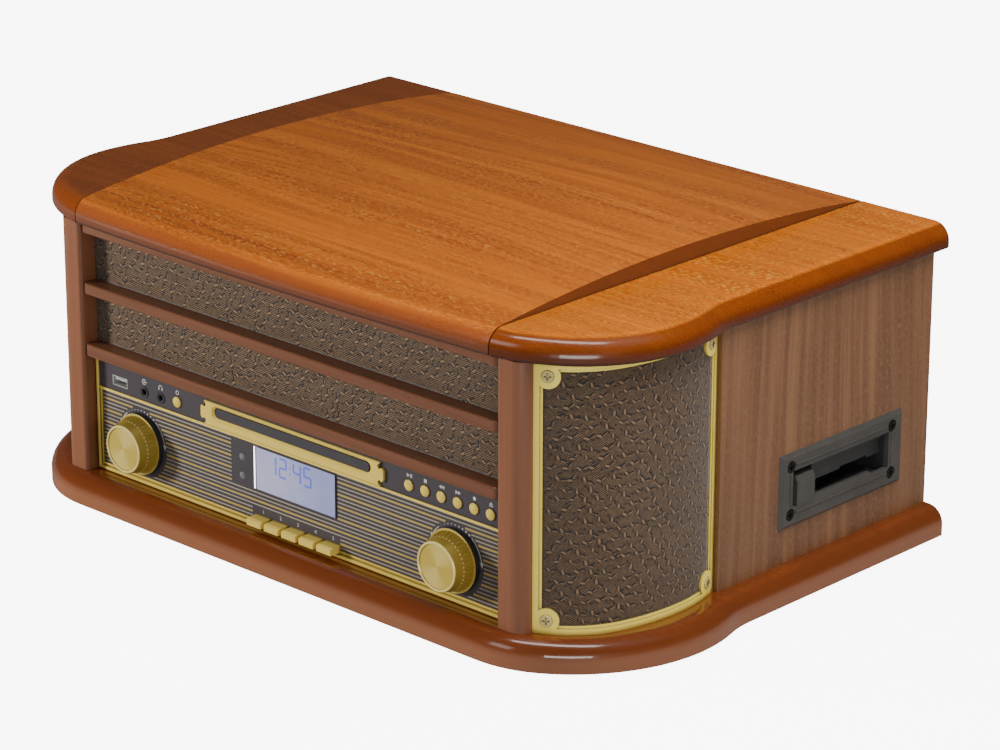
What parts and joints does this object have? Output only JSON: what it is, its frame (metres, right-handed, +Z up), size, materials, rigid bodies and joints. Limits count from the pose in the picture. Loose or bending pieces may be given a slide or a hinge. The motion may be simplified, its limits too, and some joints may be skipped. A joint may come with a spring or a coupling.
{
  "type": "stereo music centre",
  "caption": "Table-top stereo music centre in a wooden case with a turntable under a crowned lid, a CD drawer, a side cassette slot, round knobs and bowed cloth speaker bays.",
  "frame": {"origin": "under the middle of the outline, on the surface that the feet stand on", "axes": "+X to the right, +Y to the back, +Z up, seen from the front"},
  "size_m": [0.5148, 0.3374, 0.2118],
  "materials": {
    "top_veneer": "clear gloss lacquer over orange-brown veneer, grain along the width",
    "plinth_wood": "gloss lacquer, red-brown",
    "panel_veneer": "satin walnut veneer, grain upright",
    "frame_wood": "satin lacquer, red-brown",
    "board": "dark fibreboard",
    "cloth": "woven brown cloth with copper and black flecks",
    "gilt": "satin gilt",
    "knob_gilt": "spun gilt face, black skirt",
    "fascia_print": "dark grey panel with printed gilt lines",
    "display": "lit pale blue display behind glass",
    "black_plastic": "satin black moulding",
    "tray_grey": "dark grey moulding",
    "bright_screw": "bright screws",
    "black_screw": "blackened screws",
    "hinge_metal": "plated hinge",
    "platter_metal": "turned and lacquered",
    "arm_metal": "satin silver",
    "black_rubber": "matt rubber",
    "motor_steel": "plated steel",
    "pulley_brass": "turned brass",
    "socket_metal": "plated shells in black bodies",
    "driver_cone": "black paper cone in a steel basket",
    "circuit": "green circuit board"
  },
  "bodies": {
    "cabinet": {"plinth": "plinth_wood", "base_panel": "board", "rubber_feet": "black_rubber", "side_panel_left": "panel_veneer", "side_panel_right": "panel_veneer", "back_panel": "board", "front_pillars": "frame_wood", "front_rails": "frame_wood", "front_baffle": "board", "grille_cloth": "cloth", "speaker_frames": "gilt", "speaker_frame_screws": "bright_screw", "speaker_baffles": "board", "speaker_drivers": "driver_cone", "fascia": "fascia_print", "fascia_trim": "gilt", "slot_bezel": "gilt", "display_module": "display", "cd_loader": "black_plastic", "wing_left": "top_veneer", "wing_right": "top_veneer", "hinge_leaves_fixed": "hinge_metal", "turntable_deck": "black_plastic", "platter_motor": "motor_steel", "drive_belt": "black_rubber", "tonearm_base": "black_plastic", "cassette_bezel": "black_plastic", "cassette_deck": "black_plastic", "sockets": "socket_metal", "circuit_boards": "circuit", "power_transformer": "motor_steel", "cabinet_screws": "black_screw"},
    "lid": {"lid": "top_veneer", "hinge_leaves_lid": "hinge_metal"},
    "platter": {"platter": "platter_metal", "platter_mat": "black_rubber"},
    "motor_pulley": {"motor_pulley": "pulley_brass"},
    "tonearm_gimbal": {"tonearm_gimbal": "arm_metal"},
    "tonearm": {"tonearm": "arm_metal", "cartridge": "black_plastic"},
    "cue_lever": {"cue_lever": "black_plastic"},
    "speed_switch": {"speed_switch": "black_plastic"},
    "auto_stop_switch": {"auto_stop_switch": "black_plastic"},
    "volume_knob": {"volume_knob": "knob_gilt"},
    "tuning_knob": {"tuning_knob": "knob_gilt"},
    "cd_tray": {"cd_tray": "tray_grey"},
    "eject_button": {"eject_button": "black_plastic"},
    "cassette_flap": {"cassette_flap": "black_plastic"},
    "function_button": {"function_button": "gilt"},
    "play_button": {"play_button": "gilt"},
    "stop_button": {"stop_button": "gilt"},
    "track_down_button": {"track_down_button": "gilt"},
    "track_up_button": {"track_up_button": "gilt"},
    "record_button": {"record_button": "gilt"},
    "open_button": {"open_button": "gilt"},
    "menu_key": {"menu_key": "gilt"},
    "info_key": {"info_key": "gilt"},
    "scan_key": {"scan_key": "gilt"},
    "preset_key": {"preset_key": "gilt"},
    "enter_key": {"enter_key": "gilt"}
  },
  "joints": [
    {"name": "lid_hinge", "type": "hinge", "parent": "cabinet", "child": "lid", "pos_m": [0, 0.1664, 0.185], "axis": [-1, 0, 0], "range_deg": [0, 70]},
    {"name": "platter_turn", "type": "hinge", "parent": "cabinet", "child": "platter", "pos_m": [-0.014, 0.0029, 0.17], "axis": [0, 0, -1], "continuous": true},
    {"name": "pulley_turn", "type": "hinge", "parent": "cabinet", "child": "motor_pulley", "pos_m": [-0.06915, 0.05805, 0.17], "axis": [0, 0, -1], "continuous": true},
    {"name": "tonearm_swing", "type": "hinge", "parent": "cabinet", "child": "tonearm_gimbal", "pos_m": [0.14, 0.088, 0.186], "axis": [0, 0, -1], "range_deg": [0, 44]},
    {"name": "tonearm_lift", "type": "hinge", "parent": "tonearm_gimbal", "child": "tonearm", "pos_m": [0.14, 0.088, 0.194], "axis": [-1, 0, 0], "range_deg": [0, 1.5]},
    {"name": "cue_lever_turn", "type": "hinge", "parent": "cabinet", "child": "cue_lever", "pos_m": [0.157, 0.07, 0.1858], "axis": [-1, 0, 0], "range_deg": [0, 60]},
    {"name": "speed_slide", "type": "slide", "parent": "cabinet", "child": "speed_switch", "axis": [0, 1, 0], "range_m": [0, 0.016]},
    {"name": "auto_stop_slide", "type": "slide", "parent": "cabinet", "child": "auto_stop_switch", "axis": [1, 0, 0], "range_m": [0, 0.006]},
    {"name": "volume_turn", "type": "hinge", "parent": "cabinet", "child": "volume_knob", "pos_m": [-0.1349, -0.15, 0.0492], "axis": [0, -1, 0], "continuous": true},
    {"name": "tuning_turn", "type": "hinge", "parent": "cabinet", "child": "tuning_knob", "pos_m": [0.1349, -0.15, 0.0492], "axis": [0, -1, 0], "continuous": true},
    {"name": "cd_tray_slide", "type": "slide", "parent": "cabinet", "child": "cd_tray", "axis": [0, -1, 0], "range_m": [0, 0.128]},
    {"name": "function_press", "type": "slide", "parent": "cabinet", "child": "function_button", "axis": [0, 1, 0], "range_m": [0, 0.0008], "stiffness_N_per_m": 1200},
    {"name": "play_press", "type": "slide", "parent": "cabinet", "child": "play_button", "axis": [0, 1, 0], "range_m": [0, 0.0008], "stiffness_N_per_m": 1200},
    {"name": "stop_press", "type": "slide", "parent": "cabinet", "child": "stop_button", "axis": [0, 1, 0], "range_m": [0, 0.0008], "stiffness_N_per_m": 1200},
    {"name": "track_down_press", "type": "slide", "parent": "cabinet", "child": "track_down_button", "axis": [0, 1, 0], "range_m": [0, 0.0008], "stiffness_N_per_m": 1200},
    {"name": "track_up_press", "type": "slide", "parent": "cabinet", "child": "track_up_button", "axis": [0, 1, 0], "range_m": [0, 0.0008], "stiffness_N_per_m": 1200},
    {"name": "record_press", "type": "slide", "parent": "cabinet", "child": "record_button", "axis": [0, 1, 0], "range_m": [0, 0.0008], "stiffness_N_per_m": 1200},
    {"name": "open_press", "type": "slide", "parent": "cabinet", "child": "open_button", "axis": [0, 1, 0], "range_m": [0, 0.0008], "stiffness_N_per_m": 1200},
    {"name": "menu_press", "type": "slide", "parent": "cabinet", "child": "menu_key", "axis": [0, 1, 0], "range_m": [0, 0.0008], "stiffness_N_per_m": 1200},
    {"name": "info_press", "type": "slide", "parent": "cabinet", "child": "info_key", "axis": [0, 1, 0], "range_m": [0, 0.0008], "stiffness_N_per_m": 1200},
    {"name": "scan_press", "type": "slide", "parent": "cabinet", "child": "scan_key", "axis": [0, 1, 0], "range_m": [0, 0.0008], "stiffness_N_per_m": 1200},
    {"name": "preset_press", "type": "slide", "parent": "cabinet", "child": "preset_key", "axis": [0, 1, 0], "range_m": [0, 0.0008], "stiffness_N_per_m": 1200},
    {"name": "enter_press", "type": "slide", "parent": "cabinet", "child": "enter_key", "axis": [0, 1, 0], "range_m": [0, 0.0008], "stiffness_N_per_m": 1200},
    {"name": "eject_press", "type": "slide", "parent": "cabinet", "child": "eject_button", "axis": [-1, 0, 0], "range_m": [0, 0.003], "stiffness_N_per_m": 600},
    {"name": "cassette_flap_hinge", "type": "hinge", "parent": "cabinet", "child": "cassette_flap", "pos_m": [0.2303, 0.08, 0.0762], "axis": [0, 1, 0], "range_deg": [0, 80], "stiffness_Nm_per_rad": 0.004, "springref_deg": -28.65}
  ],
  "couplings": [
    {"joint": "pulley_turn", "follows": "platter_turn", "ratio": 10},
    {"joint": "tonearm_lift", "follows": "cue_lever_turn", "ratio": 0.025}
  ]
}
